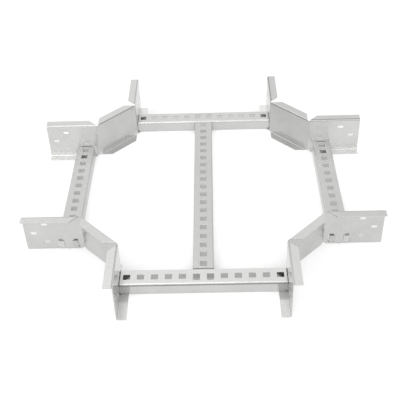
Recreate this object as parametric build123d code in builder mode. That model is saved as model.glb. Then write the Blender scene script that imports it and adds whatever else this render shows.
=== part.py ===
from build123d import *
import os
from math import radians, tan

# A four-way crossing piece for cable ladder, folded from sheet steel.
# The middle of the crossing is the origin, the rails stand on z = 0 and
# the front mouth opens toward -Y. All sizes are in millimetres.

# Ladder and rail sizes
ladder_width = 300.0
rail_height = 80.0
sheet = 1.5
flange_width = 17.5
bend_inner = 1.5
web_bend_inner = 4.0
bend_setback = 77.0
bend_angle = 45.0

# Where the rungs stand and where the arms end
rung_from_bend = 30.0
arm_tail = 80.0

# Rung section and its perforation
rung_width = 38.0
rung_height = 23.0
perforation_pitch = 25.0
perforation_size = 13.0
perforation_margin = 12.0
access_extra = 3.5
access_corner = 3.0
rounding_slack = 0.001

# Tabs at the rung ends, and the windows that they pass through
rung_end_gap = 1.0
tab_length = 11.0
tab_height = 16.5
tab_rise = 2.5
tab_lap = 2.5
tab_bend_inner = 1.0
window_side_gap = 2.5
window_end_gap = 0.5
rail_window_top_gap = 4.0
relief_clearance = 0.3

# Slots for the joint plates at the arm ends
joint_slot_length = 12.0
joint_slot_width = 6.5
middle_slot_inset = 17.0
outer_slot_inset = 40.0
outer_slot_rise = 21.0

# Lines that follow from the sizes above
half_width = ladder_width / 2
bend_outer = bend_inner + sheet
tab_bend_outer = tab_bend_inner + sheet
bend_corner = half_width + bend_setback
rung_axis = bend_corner + rung_from_bend
arm_end = rung_axis + arm_tail
diagonal_middle = (bend_corner + half_width) / 2
mitre_plane = Plane(origin=(0, 0, 0), z_dir=(1, -1, 0))

rung_top = sheet + rung_height
wall_face = rung_width / 2
tab_foot = sheet + tab_rise
tab_top = tab_foot + tab_height
window_width = window_side_gap + tab_length - tab_lap
window_centre = wall_face + window_side_gap - window_width / 2


def sheet_section(plane, corners, radii, side):
    """Draw a folded strip on the plane: one face of the sheet, and its thickness to one side."""
    with BuildSketch(plane) as section:
        with BuildLine():
            FilletPolyline(*corners, radius=radii)
            offset(amount=sheet, side=side)
        make_face()
    return section


def window_sketch(plane, foot, top):
    """Draw the pair of windows that take the two tabs of one rung end."""
    height = top - foot
    with BuildSketch(plane) as windows:
        with Locations((-window_centre, foot + height / 2), (window_centre, foot + height / 2)):
            Rectangle(window_width, height)
    return windows


def make_side_rail():
    """Fold the front left rail: arm, bend, diagonal, bend, arm. The second half mirrors the first."""
    web_radius = web_bend_inner + sheet
    tangent_length = web_radius * tan(radians(bend_angle / 2))
    arm_start = Vector(-arm_end, -half_width)
    corner = Vector(-bend_corner, -half_width)
    middle = Vector(-diagonal_middle, -diagonal_middle)
    along_arm = (corner - arm_start).normalized()
    along_diagonal = (middle - corner).normalized()
    up = Vector(0, 0, 1)
    arm_bend_end = corner - along_arm * tangent_length
    diagonal_bend_end = corner + along_diagonal * tangent_length
    straights = ((arm_start, arm_bend_end, along_arm), (diagonal_bend_end, middle, along_diagonal))
    bend_ends = ((arm_bend_end, along_arm), (diagonal_bend_end, -along_diagonal))
    profile = ((flange_width, rail_height), (0, rail_height), (0, sheet), (sheet - flange_width, sheet))
    notch_reach = 2 * flange_width

    with BuildPart() as side_rail:
        # The Z section along the arm and along half of the diagonal
        for start, end, along in straights:
            section_plane = Plane(origin=end, x_dir=along.cross(up), z_dir=-along)
            section = sheet_section(section_plane, profile, (bend_outer, bend_inner), Side.LEFT)
            extrude(section.sketch, amount=(end - start).length)
        # The web alone goes on round the bend, as high as the flat of the sheet
        with BuildSketch(Plane.XY.offset(bend_outer)):
            with BuildLine():
                FilletPolyline(arm_start, corner, middle, radius=web_radius)
                offset(amount=sheet, side=Side.RIGHT)
            make_face()
        extrude(amount=rail_height - 2 * bend_outer)
        # Both flanges are notched at 45 degrees on each side of the bend
        for level, turn, root in ((rail_height - bend_outer, 1, 0), (0, -1, sheet)):
            with BuildSketch(Plane.XY.offset(level)):
                for tip, along in bend_ends:
                    outward = Vector(-1, -1) if along.X * along.Y else Vector(0, -1)
                    outward = outward.normalized()
                    first = tip + outward * root
                    second = first + outward * turn * notch_reach
                    third = second - along * notch_reach
                    with BuildLine():
                        Polyline(first, second, third, close=True)
                    make_face()
            extrude(amount=bend_outer, mode=Mode.SUBTRACT)
        # Three slots for the joint plate, and the two windows for the rung's tabs
        joint_plane = Plane(origin=arm_start, x_dir=(1, 0, 0), z_dir=(0, -1, 0))
        middle_height = rail_height / 2
        with BuildSketch(joint_plane):
            with Locations(
                (middle_slot_inset, middle_height),
                (outer_slot_inset, middle_height + outer_slot_rise),
                (outer_slot_inset, middle_height - outer_slot_rise),
            ):
                SlotOverall(joint_slot_length, joint_slot_width)
        extrude(amount=sheet, mode=Mode.SUBTRACT)
        rung_plane = Plane(origin=(-rung_axis, -half_width, 0), x_dir=(1, 0, 0), z_dir=(0, -1, 0))
        windows = window_sketch(rung_plane, tab_foot - window_end_gap, tab_top + rail_window_top_gap)
        extrude(windows.sketch, amount=sheet, mode=Mode.SUBTRACT)
        mirror(about=mitre_plane)
    return side_rail


def perforation_count(span):
    """Perforations at the common pitch that leave the margin free at each end."""
    free_length = span - 2 * perforation_margin
    return int(free_length / perforation_pitch + rounding_slack) + 1


def make_rung(span, axis_y):
    """Fold a perforated rung along X whose tabs grip two sheets with their near faces span apart."""
    body_length = span - 2 * rung_end_gap
    tab_face = span / 2 + 2 * sheet
    relief = relief_clearance + bend_inner
    profile = ((-wall_face, sheet), (-wall_face, rung_top), (wall_face, rung_top), (wall_face, sheet))
    count = perforation_count(span)

    with BuildPart() as rung:
        # The channel is open underneath
        section_plane = Plane(origin=(-body_length / 2, axis_y, 0), x_dir=(0, 1, 0), z_dir=(1, 0, 0))
        section = sheet_section(section_plane, profile, bend_outer, Side.RIGHT)
        extrude(section.sketch, amount=body_length)
        # The lower corners of the walls clear the bend at the foot of the rail
        with BuildSketch(Plane.XY.offset(sheet)):
            with Locations((-body_length / 2, axis_y), (body_length / 2, axis_y)):
                Rectangle(2 * relief, rung_width)
        extrude(amount=relief, mode=Mode.SUBTRACT)
        # Each wall ends in a tab that goes through its window and is folded flat behind it
        with BuildSketch(Plane((0, axis_y, tab_foot))):
            with BuildLine():
                FilletPolyline(
                    (-body_length / 2, -wall_face),
                    (-tab_face, -wall_face),
                    (-tab_face, -wall_face + tab_length),
                    radius=tab_bend_outer,
                )
                offset(amount=sheet, side=Side.RIGHT)
            make_face()
            mirror(about=Plane.XZ)
            mirror(about=Plane.YZ)
        extrude(amount=tab_height)
        # One row of square perforations at the common pitch
        with BuildSketch(Plane((0, axis_y, rung_top))):
            with GridLocations(perforation_pitch, 0, count, 1):
                Rectangle(perforation_size, perforation_size)
        extrude(amount=-sheet, mode=Mode.SUBTRACT)
    return rung


def make_carrying_rung():
    """A mouth rung that also takes the tabs of the centre rung in its inner wall."""
    mouth_rung = make_rung(ladder_width, -rung_axis)
    inner_wall = Plane(origin=(0, -rung_axis + wall_face, 0), x_dir=(1, 0, 0), z_dir=(0, -1, 0))
    access_length = perforation_size + access_extra
    # The pair next to the middle lies half a pitch out in an even row and a whole pitch out in an odd row
    in_odd_row = perforation_count(ladder_width) % 2
    nearest = perforation_pitch * (1 + in_odd_row) / 2

    with BuildPart() as carrying_rung:
        add(mouth_rung.part)
        windows = window_sketch(inner_wall, tab_foot - window_end_gap, tab_top + window_end_gap)
        extrude(windows.sketch, amount=sheet, mode=Mode.SUBTRACT)
        # The two middle perforations are longer, so that a tool can reach the folded tabs
        with BuildSketch(Plane((0, -rung_axis, rung_top))) as access:
            with Locations((-nearest, -access_extra / 2), (nearest, -access_extra / 2)):
                Rectangle(perforation_size, access_length)
            fillet(access.vertices().group_by(Axis.Y)[0], access_corner)
        extrude(amount=-sheet, mode=Mode.SUBTRACT)
    return carrying_rung


side_rail = make_side_rail()
mouth_rung = make_rung(ladder_width, -rung_axis)
carrying_rung = make_carrying_rung()
centre_rung = make_rung(2 * (rung_axis - wall_face), 0)

# Each piece with the quarter turns that bring it to its place
pieces = (
    ("side_rail_front_left", side_rail, 0),
    ("side_rail_front_right", side_rail, 90),
    ("side_rail_back_right", side_rail, 180),
    ("side_rail_back_left", side_rail, 270),
    ("rung_front", carrying_rung, 0),
    ("rung_right", mouth_rung, 90),
    ("rung_back", carrying_rung, 180),
    ("rung_left", mouth_rung, 270),
    ("rung_centre", centre_rung, 90),
)

os.makedirs("parts", exist_ok=True)
for piece_name, piece, turn in pieces:
    placed = piece.part.rotate(Axis.Z, turn)
    placed.label = piece_name
    export_step(placed, f"parts/{piece_name}.step")
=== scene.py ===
import math
from collections import namedtuple

import bmesh
import bpy
from mathutils import Matrix, Vector


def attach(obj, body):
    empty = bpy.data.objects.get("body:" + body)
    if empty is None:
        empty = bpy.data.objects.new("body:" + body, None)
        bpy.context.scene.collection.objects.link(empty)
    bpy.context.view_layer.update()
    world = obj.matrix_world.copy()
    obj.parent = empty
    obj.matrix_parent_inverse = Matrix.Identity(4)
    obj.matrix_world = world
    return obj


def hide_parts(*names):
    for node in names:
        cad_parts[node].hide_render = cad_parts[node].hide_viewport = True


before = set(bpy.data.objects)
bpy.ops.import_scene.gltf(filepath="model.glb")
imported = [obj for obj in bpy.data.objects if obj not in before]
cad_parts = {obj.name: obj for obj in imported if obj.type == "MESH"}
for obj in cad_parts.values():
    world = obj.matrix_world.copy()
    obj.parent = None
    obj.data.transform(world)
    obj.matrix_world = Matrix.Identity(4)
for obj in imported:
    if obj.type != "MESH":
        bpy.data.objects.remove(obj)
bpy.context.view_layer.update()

bl_info = {
    "name": "Cable Ladder Cross",
    "version": (1, 0, 0),
    "blender": (4, 5, 0),
    "location": "View3D > Sidebar > Ladder",
    "description": "Finishes a four-way cable ladder crossing and sets it in a plain studio",
    "category": "Object",
}

# Each finished piece and the CAD node that it stands for
RAILS = {
    "folded_rail_front_left": "side_rail_front_left",
    "folded_rail_front_right": "side_rail_front_right",
    "folded_rail_back_right": "side_rail_back_right",
    "folded_rail_back_left": "side_rail_back_left",
}
FRONT_RUNG = {"punched_rung_front": "rung_front"}
BACK_RUNG = {"punched_rung_back": "rung_back"}
LONG_RUNGS = {
    "punched_rung_left": "rung_left",
    "punched_rung_right": "rung_right",
    "punched_rung_centre": "rung_centre",
}

# How a copied CAD mesh is cleaned, and how its inner corners are rounded
WELD_DISTANCE = 0.00001
FLAT_ANGLE = math.radians(1.0)
CREASE_ANGLE = math.radians(30.0)
CORNER_ANGLE = math.radians(50.0)
THICKNESS_SLACK = 0.0001
CORNER_SEGMENTS = 3
ROUND_PROFILE = 0.5

WHITE = (1.0, 1.0, 1.0, 1.0)
CAMERA_SENSOR = 36.0
OCCLUSION_SAMPLES = 8
BEVEL_SAMPLES = 4

# Places of the object in metres, on its own axes
RUNG_AXIS = 0.257
WEB_PLACE = 0.15

# Galvanised zinc. Scales are per metre, and a streak is long where its scale is low.
RAIL_STREAKS = (60.0, 60.0, 900.0)
STREAKS_ALONG_X = (60.0, 900.0, 900.0)
STREAKS_ALONG_Y = (900.0, 60.0, 900.0)
CLOUD_SCALE = (18.0, 18.0, 18.0)
SPANGLE_SCALE = 190.0
NOISE_DETAIL = 3.0
NOISE_MEAN = 0.5
CLOUD_SHARE = 0.7
STREAK_SHARE = 0.3
DULL_SPAN = (0.38, 0.64)
SPANGLE_CONTRAST = 0.03
STREAK_CONTRAST = 0.04
# Painted shade in crevices and corners: how far the occlusion looks, where it counts, and the
# share of colour that it takes
CREVICE_REACH = 0.006
CREVICE_SPAN = (0.2, 0.9)
CREVICE_LOSS = 0.45
CORNER_REACH = 0.022
CORNER_SPAN = (0.4, 0.8)
CORNER_LOSS = 0.10
STEEL_SHARE = 0.8
DULL_ROUGHNESS = 0.08
SPANGLE_ROUGHNESS = 0.05
CUT_ROUGHNESS = 0.1
STREAK_RELIEF = 0.6
SPANGLE_RELIEF = 0.4
RELIEF_STRENGTH = 0.05
RELIEF_DEPTH = 0.0002
METALLIC = 0.75

# The floor: where it counts as shaded, and how much of its own white it shows, as painted shade
FLOOR_SIDES = 64
SHADED_PAINT = 0.5
WHITE_STRENGTH = 1.14
ABOVE_REACH = 0.05
ABOVE_SPAN = (0.15, 0.5)
AHEAD_REACH = 0.15
AHEAD_SPAN = (0.25, 0.7)
AHEAD_NORMAL = {1: -0.7, 2: 0.7}
SHOWN_WHITE = 0.77
SHADE_LOSS = 0.49
LEE_LOSS = 0.42
DARK_END_LOSS = 0.2
MIRRORED_WHITE = 0.69
MIRRORED_SHADE_GAIN = 0.17

# A painted shadow in the lee of a web: the floor close behind it, which leans outward with the
# distance
LEE_START = (-0.002, 0.0)
LEE_END = (0.06, 0.11)
LEE_LEAN = 0.3
LEE_INNER_SIDE = (0.255, 0.285)
LEE_OUTER_SIDE = (0.322, 0.338)

# Painted shade at the dark ends: the floor inside the front ends of the side rungs
DARK_END_PLACE = -0.127
DARK_END_HALF = 0.013
DARK_END_SPAN = (0.028, 0.032)


class Term:
    """A socket of a node tree that can be used in Python arithmetic."""

    def __init__(self, shader, socket):
        self.shader = shader
        self.socket = socket

    def _math(self, operation, first, second):
        return self.shader.node("ShaderNodeMath", {"operation": operation}, {0: first, 1: second})

    def __add__(self, other):
        return self._math("ADD", self, other)

    def __radd__(self, other):
        return self._math("ADD", other, self)

    def __sub__(self, other):
        return self._math("SUBTRACT", self, other)

    def __rsub__(self, other):
        return self._math("SUBTRACT", other, self)

    def __mul__(self, other):
        return self._math("MULTIPLY", self, other)

    def __rmul__(self, other):
        return self._math("MULTIPLY", other, self)

    def larger(self, other):
        return self._math("MAXIMUM", self, other)

    def smaller(self, other):
        return self._math("MINIMUM", self, other)

    def size(self):
        return self._math("ABSOLUTE", self, 0.0)

    def past(self, span):
        """0 up to the start of the span, 1 from its end on, and smooth in between."""
        settings = {"interpolation_type": "SMOOTHSTEP"}
        inputs = {"Value": self, 1: span[0], 2: span[1]}
        return self.shader.node("ShaderNodeMapRange", settings, inputs)

    def before(self, span):
        """1 up to the start of the span, 0 from its end on, and smooth in between."""
        return 1.0 - self.past(span)


class Shader:
    """Builds one node tree. Every node of it comes from the node method."""

    def __init__(self, owner):
        owner.use_nodes = True
        self.tree = owner.node_tree
        self.tree.nodes.clear()

    def node(self, kind, settings=None, inputs=None, output=0):
        """Add a node, give it its settings, fill its sockets and return one of its outputs."""
        made = self.tree.nodes.new(kind)
        for name, value in (settings or {}).items():
            setattr(made, name, value)
        for key, value in (inputs or {}).items():
            if isinstance(value, Term):
                self.tree.links.new(value.socket, made.inputs[key])
            else:
                made.inputs[key].default_value = value
        return Term(self, made.outputs[output]) if made.outputs else None

    def mix_colors(self, factor, first, second, blend="MIX"):
        settings = {"data_type": "RGBA", "blend_type": blend}
        return self.node("ShaderNodeMix", settings, {0: factor, 6: first, 7: second}, 2)

    def axes(self, vector):
        """The three parts of a vector."""
        parted = self.node("ShaderNodeSeparateXYZ", {}, {0: vector})
        return [Term(self, socket) for socket in parted.socket.node.outputs]

    def noise(self, place, stretch):
        """Noise with its own scale along each axis."""
        settings = {"operation": "MULTIPLY"}
        stretched = self.node("ShaderNodeVectorMath", settings, {0: place, 1: stretch})
        inputs = {"Vector": stretched, "Scale": 1.0, "Detail": NOISE_DETAIL}
        return self.node("ShaderNodeTexNoise", {}, inputs)

    def openness(self, reach, **inputs):
        """1 where nothing stands within reach, and less where something does."""
        settings = {"samples": OCCLUSION_SAMPLES}
        inputs["Distance"] = reach
        return self.node("ShaderNodeAmbientOcclusion", settings, inputs, "AO")


def color_property(name, description, default):
    return bpy.props.FloatVectorProperty(
        name=name,
        description=description,
        default=default,
        subtype="COLOR",
        size=3,
        min=0.0,
        max=1.0,
    )


def length_property(name, description, default):
    return bpy.props.FloatProperty(
        name=name,
        description=description,
        default=default,
        subtype="DISTANCE",
        unit="LENGTH",
        min=0.0,
    )


def place_property(name, description, default):
    return bpy.props.FloatVectorProperty(
        name=name,
        description=description,
        default=default,
        subtype="TRANSLATION",
        unit="LENGTH",
        size=3,
    )


def power_property(name, description, default):
    return bpy.props.FloatProperty(
        name=name, description=description, default=default, subtype="POWER", min=0.0
    )


def share_property(name, description, default):
    return bpy.props.FloatProperty(
        name=name, description=description, default=default, subtype="FACTOR", min=0.0, max=1.0
    )


class LadderFinish(bpy.types.PropertyGroup):
    """How the galvanised sheet is worked and how it looks."""

    sheet: length_property("Sheet", "Thickness of the folded sheet", 0.0015)
    edge_radius: length_property("Edge radius", "Radius of the worn cut edges", 0.0004)
    corner_radius: length_property(
        "Corner radius", "Radius in the corners of the punched holes", 0.001
    )
    rail_color: color_property(
        "Rail colour", "Zinc colour of the side rails", (0.658, 0.656, 0.648)
    )
    # Painted light: the front rung's zinc is lighter than the rails', the back rung's a little
    # lighter and the other rungs' darker, as the light falls on each.
    front_lit_color: color_property(
        "Front rung colour", "Zinc colour of the front rung", (0.745, 0.743, 0.735)
    )
    back_lit_color: color_property(
        "Back rung colour", "Zinc colour of the back rung", (0.685, 0.683, 0.675)
    )
    long_shaded_color: color_property(
        "Long rung colour", "Zinc colour of the other rungs", (0.606, 0.604, 0.597)
    )
    steel_color: color_property(
        "Cut edge colour", "Colour of the sheared edges", (0.70, 0.70, 0.70)
    )
    dulling: share_property(
        "Dulling", "Share of its colour that the zinc loses where it has gone dull", 0.06
    )
    rail_roughness: share_property("Rail roughness", "Mean roughness of the side rails", 0.24)
    mouth_roughness: share_property(
        "Mouth rung roughness", "Mean roughness of the front and back rungs", 0.22
    )
    long_roughness: share_property(
        "Long rung roughness", "Mean roughness of the other rungs", 0.32
    )


class LadderStudio(bpy.types.PropertyGroup):
    """Where the camera stands and how the studio is lit."""

    camera_place: place_property(
        "Camera place", "Where the camera stands", (0.0255, -1.2373, 1.0057)
    )
    camera_aim: place_property(
        "Camera aim", "Point at the middle of the picture", (-0.0075, -0.0137, 0.0)
    )
    camera_roll: bpy.props.FloatProperty(
        name="Camera roll",
        description="Turn of the camera about its own axis",
        subtype="ANGLE",
        default=math.radians(-2.16),
    )
    lens: bpy.props.FloatProperty(
        name="Lens",
        description="Focal length in millimetres on a 36 mm wide sensor",
        min=1.0,
        default=69.6,
    )
    sky_light: bpy.props.FloatProperty(
        name="Sky light",
        description="Strength of the even light from all round",
        min=0.0,
        default=0.6,
    )
    key_place: place_property(
        "Key light place", "Where the large soft light hangs", (-1.2, 0.3, 2.8)
    )
    key_size: length_property("Key light size", "Side of the large soft light", 3.5)
    key_power: power_property("Key light", "Power of the large soft light", 36.0)
    front_place: place_property(
        "Front light place", "Where the front panel hangs", (-0.2, -3.0, 1.4)
    )
    front_width: length_property("Front light width", "Width of the front panel", 3.0)
    front_height: length_property("Front light height", "Height of the front panel", 0.8)
    front_power: power_property("Front light", "Power of the front panel", 20.0)
    floor_radius: length_property("Floor radius", "Reach of the floor round the object", 12.0)
    floor_color: color_property("Floor colour", "Colour of the plain floor", (0.92, 0.92, 0.92))


# The real zinc mirrors surroundings that the scene doesn't have, so some light and dark parts are
# painted into the material: painted reflections, painted highlights and painted shade. Each
# function below is the mask of one part and takes a spot of the object: east is +X, north is +Y,
# toward the back, and height is +Z.
Spot = namedtuple("Spot", "east north height")

# The spans over which the masks rise or fall, in metres along what the last word says. Across
# is the distance from the middle line of a ladder run, or from a rung's own axis.
REAR_NORTH = (0.10, 0.15)
RIGHT_EAST = (0.10, 0.15)
FRONT_TO_REAR_NORTH = (-0.1, 0.1)

LINE_FOOT_HEIGHT = (0.0192, 0.0206)
LINE_TOP_HEIGHT = (0.0230, 0.0240)
WALL_TOP_HEIGHT = (0.0190, 0.0220)
WALL_END_EAST = (0.1300, 0.1315)
CHANNEL_SIDE_ACROSS = (0.0178, 0.0186)
CHANNEL_ROOF_HEIGHT = (0.0232, 0.0240)
CHANNEL_END_EAST = (0.149, 0.1495)
CENTRE_RUNG_EAST = (0.020, 0.024)
DARK_CHANNEL_START_NORTH = (-0.1495, -0.1485)
DARK_CHANNEL_STOP_NORTH = (-0.125, -0.115)
HIDDEN_TAB_NORTH = (0.2383, 0.2387)
OUTER_TAB_START_NORTH = (0.1508, 0.1514)
OUTER_TAB_STOP_NORTH = (0.16, 0.17)
OUTER_TAB_EAST = (0.256, 0.258)

DIAGONAL_NORTH_PLUS_EAST = (0.3793, 0.3800)
TOP_FACE_HEIGHT = (0.0785, 0.0789)
TOP_BEND_HEIGHT = (0.0762, 0.0768)
BOTTOM_FACE_HEIGHT = (0.0016, 0.0040)
DIAGONAL_LINE_FOOT_HEIGHT = (0.0774, 0.0779)
DIAGONAL_LINE_TOP_HEIGHT = (0.0789, 0.0793)
DIAGONAL_LINE_ACROSS = (0.153, 0.156)
ARM_LINE_START_ACROSS = (0.1511, 0.1515)
ARM_LINE_STOP_ACROSS = (0.1530, 0.1540)
FRONT_ARM_NORTH = (-0.245, -0.225)
RIGHT_ARM_EAST = (0.23, 0.25)
UNDER_RUNG_START_NORTH = (-0.2965, -0.2955)
UNDER_RUNG_STOP_NORTH = (-0.270, -0.260)
DIAGONAL_FOOT_HEIGHT = (0.006, 0.012)


def whole(spot):
    """Every spot of a piece."""
    return 1.0


def rear(spot):
    """The rear half of the object."""
    return spot.north.past(REAR_NORTH)


def rear_right(spot):
    """The rear right rail."""
    return rear(spot) * spot.east.past(RIGHT_EAST)


def bend_line(spot):
    """The line on a rung's walls just under its top bends."""
    return spot.height.past(LINE_FOOT_HEIGHT) * spot.height.before(LINE_TOP_HEIGHT)


def rung_wall(spot):
    """A rung's walls below the line."""
    return spot.height.before(WALL_TOP_HEIGHT)


def wall_end(spot):
    """The ends of a mouth rung's walls, next to the rails."""
    return rung_wall(spot) * spot.east.size().past(WALL_END_EAST)


def channel_faces(spot, across):
    """The inner faces of the rungs that stand at the rung axis, measured across them."""
    from_axis = (across.size() - RUNG_AXIS).size()
    return from_axis.before(CHANNEL_SIDE_ACROSS) * spot.height.before(CHANNEL_ROOF_HEIGHT)


def mouth_channel(spot):
    """The inner faces of the front and back rungs."""
    return channel_faces(spot, spot.north) * spot.east.size().before(CHANNEL_END_EAST)


def centre_tabs(spot):
    """The inner faces of the front rung between the tabs of the centre rung."""
    near_centre = spot.east.size().before(CENTRE_RUNG_EAST)
    return mouth_channel(spot) * near_centre * spot.north.before(FRONT_TO_REAR_NORTH)


def dark_channel(spot):
    """The inner faces of the side rungs at their front ends."""
    past_web = spot.north.past(DARK_CHANNEL_START_NORTH)
    front_end = past_web * spot.north.before(DARK_CHANNEL_STOP_NORTH)
    return channel_faces(spot, spot.east) * front_end


def hidden_tab(spot):
    """The centre rung's tabs, which are folded inside the front and back rungs."""
    return spot.north.size().past(HIDDEN_TAB_NORTH)


def outer_tab(spot):
    """The outer one of the two tabs at each end of a side rung."""
    from_middle = spot.north.size()
    behind_web = from_middle.past(OUTER_TAB_START_NORTH) * from_middle.before(OUTER_TAB_STOP_NORTH)
    return behind_web * spot.east.size().past(OUTER_TAB_EAST)


def across_arm(spot):
    """Distance of a rail's spot from the middle line of the run that its arm follows."""
    return spot.east.size().smaller(spot.north.size())


def diagonal(spot):
    """The part of a rail between its two bends."""
    return (spot.east.size() + spot.north.size()).before(DIAGONAL_NORTH_PLUS_EAST)


def top_face(spot):
    """The upper side of a rail's top flange."""
    return spot.height.past(TOP_FACE_HEIGHT)


def bottom_face(spot):
    """The upper side of a rail's bottom flange."""
    return spot.height.before(BOTTOM_FACE_HEIGHT)


def diagonal_line(spot):
    """The line along the top bend of the diagonal."""
    above_web = spot.height.past(DIAGONAL_LINE_FOOT_HEIGHT)
    level = above_web * spot.height.before(DIAGONAL_LINE_TOP_HEIGHT)
    return across_arm(spot).past(DIAGONAL_LINE_ACROSS) * level


def arm_line(spot):
    """The line along the top bend of an arm."""
    across = across_arm(spot)
    beside_web = across.past(ARM_LINE_START_ACROSS) * across.before(ARM_LINE_STOP_ACROSS)
    return beside_web * top_face(spot)


def top_bend(spot):
    """The top bend of a rail, below the flange's upper side."""
    return spot.height.past(TOP_BEND_HEIGHT) * spot.height.before(TOP_FACE_HEIGHT)


def front_top(spot):
    """The top flanges of the two front arms."""
    return top_face(spot) * spot.north.before(FRONT_ARM_NORTH)


def right_top(spot):
    """The top flange of the right arm, on its front side."""
    return top_face(spot) * spot.east.past(RIGHT_ARM_EAST) * (1.0 - rear(spot))


def arm_bottom(spot):
    """The bottom flanges of the arms."""
    return bottom_face(spot) * (1.0 - diagonal(spot))


def under_rung(spot):
    """The bottom flanges of the front arms just before the front rung and under its wall."""
    before_rung = spot.north.past(UNDER_RUNG_START_NORTH)
    return bottom_face(spot) * before_rung * spot.north.before(UNDER_RUNG_STOP_NORTH)


def diagonal_foot(spot):
    """The bottom flange of the diagonal and the foot of its web."""
    return diagonal(spot) * spot.height.before(DIAGONAL_FOOT_HEIGHT)


# Painted light and shade: how much the brightness changes within each mask, everywhere, and what
# is added to that in the rear half and on the rear right rail. A minus is painted shade or a
# painted dark reflection, and a plus is painted light.
ZONES = (whole, rear, rear_right)
# On the rails: painted dark reflections along the top bends, painted shade over the rear right
# rail's bend highlights and top, painted light and shade on single flanges, a painted shadow
# before the front rung, the rear half painted lighter and the diagonals darker.
RAIL_PAINTED_LIGHT = (
    (diagonal_line, -0.50, 0.0, 0.25),
    (arm_line, -0.30, 0.0, -0.20),
    (top_bend, 0.0, 0.0, -0.30),
    (top_face, 0.0, 0.0, -0.10),
    (front_top, 0.06),
    (right_top, -0.08),
    (arm_bottom, 0.14, 0.14),
    (under_rung, -0.06),
    (diagonal_foot, 0.0, 0.15, -0.14),
    (whole, 0.0, 0.04),
    (diagonal, -0.07, -0.06, -0.08),
)
# On the front rung: a painted dark reflection under its top bend, and painted shade on its walls,
# their ends, its inner faces and between the centre rung's tabs.
FRONT_RUNG_PAINTED_LIGHT = (
    (bend_line, -0.56),
    (rung_wall, -0.13),
    (wall_end, -0.12),
    (mouth_channel, -0.18),
    (centre_tabs, -0.12),
)
# On the back rung: a fainter painted dark reflection under its top bend, painted shade on its
# walls and painted light on its inner faces.
BACK_RUNG_PAINTED_LIGHT = (
    (bend_line, -0.12),
    (rung_wall, -0.04),
    (mouth_channel, 0.17),
)
# On the other rungs: a fainter painted dark reflection under the top bends, painted shade at the
# centre rung's front tabs, inside the side rungs' front ends and on the hidden tabs, and painted
# light on the outer tabs.
LONG_RUNG_PAINTED_LIGHT = (
    (bend_line, -0.12),
    (centre_tabs, -0.12),
    (dark_channel, -0.70),
    (hidden_tab, -0.20),
    (outer_tab, 0.16),
)


def painted_brightness(spot, painted_light):
    """The painted light and shade that a list of masks and changes gives a spot, as a brightness.
    """
    brightness = 1.0
    for mask, *shares in painted_light:
        change = sum(share * zone(spot) for zone, share in zip(ZONES, shares) if share)
        brightness = brightness * (1.0 + mask(spot) * change)
    return brightness


def zinc_material(name, zinc, rough, streaks, painted_light):
    """Galvanised sheet: cloudy zinc with a faint spangle, drawn out in the rolling direction, with
    painted shade in its crevices and the painted light and shade of its masks.
    """
    finish = bpy.context.scene.ladder_finish
    material = bpy.data.materials.new(name)
    shader = Shader(material)
    place = shader.node("ShaderNodeTexCoord", output="Object")
    spot = Spot(*shader.axes(place))
    grain = shader.noise(place, streaks)
    clouds = shader.noise(place, CLOUD_SCALE)
    inputs = {"Vector": place, "Scale": SPANGLE_SCALE}
    spangle = shader.node("ShaderNodeTexVoronoi", {}, inputs, "Color")
    # Painted shade: the zinc is darker in crevices and corners, where little light reaches
    crevice = (1.0 - shader.openness(CREVICE_REACH)).past(CREVICE_SPAN)
    corner = (1.0 - shader.openness(CORNER_REACH)).past(CORNER_SPAN)
    cut = shader.node("ShaderNodeAttribute", {"attribute_name": "cut_edge"}, output="Fac")

    dull = (clouds * CLOUD_SHARE + grain * STREAK_SHARE).past(DULL_SPAN)
    mottle = 1.0 - dull * finish.dulling
    mottle = mottle + (spangle - NOISE_MEAN) * SPANGLE_CONTRAST
    mottle = mottle + (grain - NOISE_MEAN) * STREAK_CONTRAST
    painted_crevice_shade = (1.0 - crevice * CREVICE_LOSS) * (1.0 - corner * CORNER_LOSS)
    # Random dulling and spangle, times the painted crevice shade away from the sheared edges,
    # times the painted light and shade of the masks
    shade = mottle * (1.0 - (1.0 - painted_crevice_shade) * (1.0 - cut)) * painted_brightness(spot, painted_light)
    grey = shader.node("ShaderNodeCombineColor", {}, {0: shade, 1: shade, 2: shade})
    shaded = shader.mix_colors(1.0, (*zinc, 1.0), grey, "MULTIPLY")
    color = shader.mix_colors(cut * STEEL_SHARE, shaded, (*finish.steel_color, 1.0))

    roughness = rough + (dull - NOISE_MEAN) * DULL_ROUGHNESS
    roughness = roughness + (spangle - NOISE_MEAN) * SPANGLE_ROUGHNESS + cut * CUT_ROUGHNESS
    rolled = shader.node(
        "ShaderNodeBevel", {"samples": BEVEL_SAMPLES}, {"Radius": finish.edge_radius}
    )
    inputs = {
        "Strength": RELIEF_STRENGTH,
        "Distance": RELIEF_DEPTH,
        "Height": grain * STREAK_RELIEF + spangle * SPANGLE_RELIEF,
        "Normal": rolled,
    }
    normal = shader.node("ShaderNodeBump", {}, inputs)
    inputs = {
        "Base Color": color,
        "Metallic": METALLIC,
        "Roughness": roughness,
        "Normal": normal,
    }
    surface = shader.node("ShaderNodeBsdfPrincipled", {}, inputs)
    shader.node("ShaderNodeOutputMaterial", {}, {"Surface": surface})
    return material


def mark_cut_edges(shape, sheet):
    """Note on each face whether it is a sheared edge, as wide as the sheet is thick."""
    layer = shape.faces.layers.float.new("cut_edge")
    for face in shape.faces:
        widths = [edge.calc_length() for edge in face.edges]
        narrow = sum(abs(width - sheet) < THICKNESS_SLACK for width in widths)
        face[layer] = 1.0 if len(widths) == 4 and narrow >= 2 else 0.0


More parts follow.
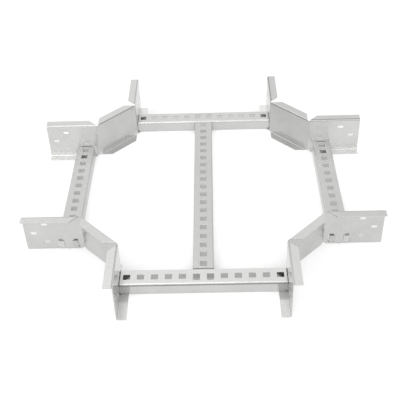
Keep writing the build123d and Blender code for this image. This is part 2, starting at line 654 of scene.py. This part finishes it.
def round_inner_corners(shape, sheet, radius):
    """Round the corners of punched holes and notches, as a worn punch leaves them."""
    corners = [
        edge for edge in shape.edges
        if abs(edge.calc_length() - sheet) < THICKNESS_SLACK
        and not edge.is_convex
        and edge.calc_face_angle() > CORNER_ANGLE
    ]
    bmesh.ops.bevel(
        shape,
        geom=corners,
        offset=radius,
        offset_type="OFFSET",
        segments=CORNER_SEGMENTS,
        profile=ROUND_PROFILE,
        affect="EDGES",
        material=-1,
        clamp_overlap=True,
    )


def dress(pieces, material):
    """Make each piece from a merged copy of its CAD node, with rounded inner corners."""
    finish = bpy.context.scene.ladder_finish
    for piece_name, node_name in pieces.items():
        shape = bmesh.new()
        shape.from_mesh(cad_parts[node_name].data)
        bmesh.ops.remove_doubles(shape, verts=shape.verts, dist=WELD_DISTANCE)
        bmesh.ops.dissolve_limit(
            shape, angle_limit=FLAT_ANGLE, verts=shape.verts, edges=shape.edges
        )
        mark_cut_edges(shape, finish.sheet)
        round_inner_corners(shape, finish.sheet, finish.corner_radius)
        for face in shape.faces:
            face.smooth = True
        for edge in shape.edges:
            edge.smooth = edge.calc_face_angle() < CREASE_ANGLE
        mesh = bpy.data.meshes.new(piece_name)
        shape.to_mesh(mesh)
        shape.free()
        mesh.materials.append(material)
        piece = bpy.data.objects.new(piece_name, mesh)
        bpy.context.scene.collection.objects.link(piece)
        piece.modifiers.new("even_normals", "WEIGHTED_NORMAL").keep_sharp = True
        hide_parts(node_name)
        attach(piece, "root")


class LADDER_OT_fold_side_rails(bpy.types.Operator):
    """Finish the four folded side rails as galvanised sheet"""

    bl_idname = "ladder.fold_side_rails"
    bl_label = "Fold Side Rails"

    def execute(self, context):
        finish = context.scene.ladder_finish
        color, rough = finish.rail_color, finish.rail_roughness
        zinc = zinc_material("rail_zinc", color, rough, RAIL_STREAKS, RAIL_PAINTED_LIGHT)
        dress(RAILS, zinc)
        return {"FINISHED"}


class LADDER_OT_punch_rungs(bpy.types.Operator):
    """Finish the five perforated rungs as galvanised sheet"""

    bl_idname = "ladder.punch_rungs"
    bl_label = "Punch Rungs"

    def execute(self, context):
        finish = context.scene.ladder_finish
        mouth, long = finish.mouth_roughness, finish.long_roughness
        front, back, other = finish.front_lit_color, finish.back_lit_color, finish.long_shaded_color
        along_x, along_y = STREAKS_ALONG_X, STREAKS_ALONG_Y
        for pieces, name, color, rough, streaks, painted_light in (
            (FRONT_RUNG, "front_rung_zinc", front, mouth, along_x, FRONT_RUNG_PAINTED_LIGHT),
            (BACK_RUNG, "back_rung_zinc", back, mouth, along_x, BACK_RUNG_PAINTED_LIGHT),
            (LONG_RUNGS, "long_rung_zinc", other, long, along_y, LONG_RUNG_PAINTED_LIGHT),
        ):
            dress(pieces, zinc_material(name, color, rough, streaks, painted_light))
        return {"FINISHED"}


def background_rays(shader):
    """Rays that show the background: those from the camera, and those in metal or glass."""
    names = ("Is Camera Ray", "Is Glossy Ray", "Is Transmission Ray")
    camera, glossy, transmission = (
        shader.node("ShaderNodeLightPath", output=name) for name in names
    )
    return camera, glossy.larger(transmission)


def floor_lee_shadow(east, north):
    """The floor behind the webs that face the front, where it lies in their lee and a shadow is
    painted.
    """
    lee = 0.0
    for web in (-WEB_PLACE, WEB_PLACE):
        behind = north - web
        aside = east.size() - behind * LEE_LEAN
        along = behind.past(LEE_START) * behind.before(LEE_END)
        lee = lee + along * aside.past(LEE_INNER_SIDE) * aside.before(LEE_OUTER_SIDE)
    return lee


def floor_material(studio):
    """Floor paint, white where it is open, with painted shade in the channels and a painted shadow
    behind the webs.
    """
    material = bpy.data.materials.new("floor_paint")
    shader = Shader(material)
    material.cycles.emission_sampling = "NONE"
    # Painted shade: the floor counts as shaded where something stands close above it or ahead of
    # it, and its paint is darker there
    above = shader.openness(ABOVE_REACH).past(ABOVE_SPAN)
    forward = shader.node("ShaderNodeCombineXYZ", {}, AHEAD_NORMAL)
    ahead = shader.openness(AHEAD_REACH, Normal=forward).past(AHEAD_SPAN)
    shade = 1.0 - above.smaller(ahead)
    shaded_paint = tuple(part * SHADED_PAINT for part in studio.floor_color)
    color = shader.mix_colors(shade, (*studio.floor_color, 1.0), (*shaded_paint, 1.0))
    paint = shader.node("ShaderNodeBsdfDiffuse", {}, {"Color": color})
    white = shader.node("ShaderNodeEmission", {}, {"Color": WHITE, "Strength": WHITE_STRENGTH})

    east, north, _ = shader.axes(shader.node("ShaderNodeTexCoord", output="Object"))
    along = (north - DARK_END_PLACE).size().larger(DARK_END_HALF)
    dark_end = ((east.size() - RUNG_AXIS).size() + along).before(DARK_END_SPAN)
    # Painted shadow: less of the white shows where the floor is shaded, in the lee of the webs and
    # at the dark ends
    in_lee = SHOWN_WHITE - floor_lee_shadow(east, north) * LEE_LOSS
    shown = (SHOWN_WHITE - shade * SHADE_LOSS).smaller(in_lee) - dark_end * DARK_END_LOSS
    camera, mirrored = background_rays(shader)
    # Seen in the metal, the shaded floor shows more of its white, as painted light inside the
    # channels
    white_share = camera * shown + mirrored * (MIRRORED_WHITE + shade * MIRRORED_SHADE_GAIN)
    surface = shader.node("ShaderNodeMixShader", {}, {0: white_share, 1: paint, 2: white})
    shader.node("ShaderNodeOutputMaterial", {}, {"Surface": surface})
    return material


def lay_floor(studio):
    """A round pale floor."""
    mesh = bpy.data.meshes.new("floor")
    shape = bmesh.new()
    bmesh.ops.create_circle(
        shape, cap_ends=True, segments=FLOOR_SIDES, radius=studio.floor_radius
    )
    shape.to_mesh(mesh)
    shape.free()
    floor = bpy.data.objects.new("floor", mesh)
    bpy.context.scene.collection.objects.link(floor)
    mesh.materials.append(floor_material(studio))


def light_world(scene, studio):
    """Even light from all round, seen as white."""
    world = bpy.data.worlds.new("studio")
    scene.world = world
    shader = Shader(world)
    world.cycles.sampling_method = "NONE"
    inputs = {"Color": WHITE, "Strength": studio.sky_light}
    light = shader.node("ShaderNodeBackground", {}, inputs)
    shown = shader.node("ShaderNodeBackground", {}, {"Color": WHITE, "Strength": 1.0})
    camera, mirrored = background_rays(shader)
    inputs = {0: camera.larger(mirrored), 1: light, 2: shown}
    surface = shader.node("ShaderNodeMixShader", {}, inputs)
    shader.node("ShaderNodeOutputWorld", {}, {"Surface": surface})


def hang_panel(scene, name, place, width, height, power):
    """A soft light that faces the middle of the crossing."""
    panel = bpy.data.lights.new(name, "AREA")
    panel.shape = "RECTANGLE"
    panel.size = width
    panel.size_y = height
    panel.energy = power
    lamp = bpy.data.objects.new(name, panel)
    scene.collection.objects.link(lamp)
    lamp.location = place
    lamp.rotation_euler = (-lamp.location).to_track_quat("-Z", "Y").to_euler()


class LADDER_OT_build_stage(bpy.types.Operator):
    """Lay the pale floor and hang the studio lights"""

    bl_idname = "ladder.build_stage"
    bl_label = "Build Stage"

    def execute(self, context):
        studio = context.scene.ladder_studio
        lay_floor(studio)
        light_world(context.scene, studio)
        key = (studio.key_size, studio.key_size, studio.key_power)
        front = (studio.front_width, studio.front_height, studio.front_power)
        hang_panel(context.scene, "key_light", studio.key_place, *key)
        hang_panel(context.scene, "front_light", studio.front_place, *front)
        return {"FINISHED"}


class LADDER_OT_place_camera(bpy.types.Operator):
    """Stand the camera at the photograph's viewpoint"""

    bl_idname = "ladder.place_camera"
    bl_label = "Place Camera"

    def execute(self, context):
        studio = context.scene.ladder_studio
        data = bpy.data.cameras.new("camera")
        data.sensor_width = CAMERA_SENSOR
        data.lens = studio.lens
        camera = bpy.data.objects.new("camera", data)
        context.scene.collection.objects.link(camera)
        place = Vector(studio.camera_place)
        look = (Vector(studio.camera_aim) - place).to_track_quat("-Z", "Y").to_matrix().to_4x4()
        roll = Matrix.Rotation(studio.camera_roll, 4, "Z")
        camera.matrix_world = Matrix.Translation(place) @ look @ roll
        context.scene.camera = camera
        return {"FINISHED"}


class LADDER_PT_panel(bpy.types.Panel):
    """Lists the settings and the steps that finish the ladder crossing"""

    bl_label = "Cable Ladder Cross"
    bl_idname = "LADDER_PT_panel"
    bl_space_type = "VIEW_3D"
    bl_region_type = "UI"
    bl_category = "Ladder"

    def draw(self, context):
        for settings in (context.scene.ladder_finish, context.scene.ladder_studio):
            for name in settings.__annotations__:
                self.layout.prop(settings, name)
        for operator in STEPS:
            self.layout.operator(operator.bl_idname)


STEPS = (
    LADDER_OT_place_camera,
    LADDER_OT_build_stage,
    LADDER_OT_fold_side_rails,
    LADDER_OT_punch_rungs,
)
CLASSES = (LadderFinish, LadderStudio, *STEPS, LADDER_PT_panel)


def register():
    for item in CLASSES:
        bpy.utils.register_class(item)
    bpy.types.Scene.ladder_finish = bpy.props.PointerProperty(type=LadderFinish)
    bpy.types.Scene.ladder_studio = bpy.props.PointerProperty(type=LadderStudio)


def unregister():
    del bpy.types.Scene.ladder_studio
    del bpy.types.Scene.ladder_finish
    for item in reversed(CLASSES):
        bpy.utils.unregister_class(item)


def main():
    register()
    bpy.context.scene.view_settings.view_transform = "Standard"
    bpy.ops.ladder.place_camera()
    bpy.ops.ladder.build_stage()
    bpy.ops.ladder.fold_side_rails()
    bpy.ops.ladder.punch_rungs()


if __name__ == "__main__":
    main()
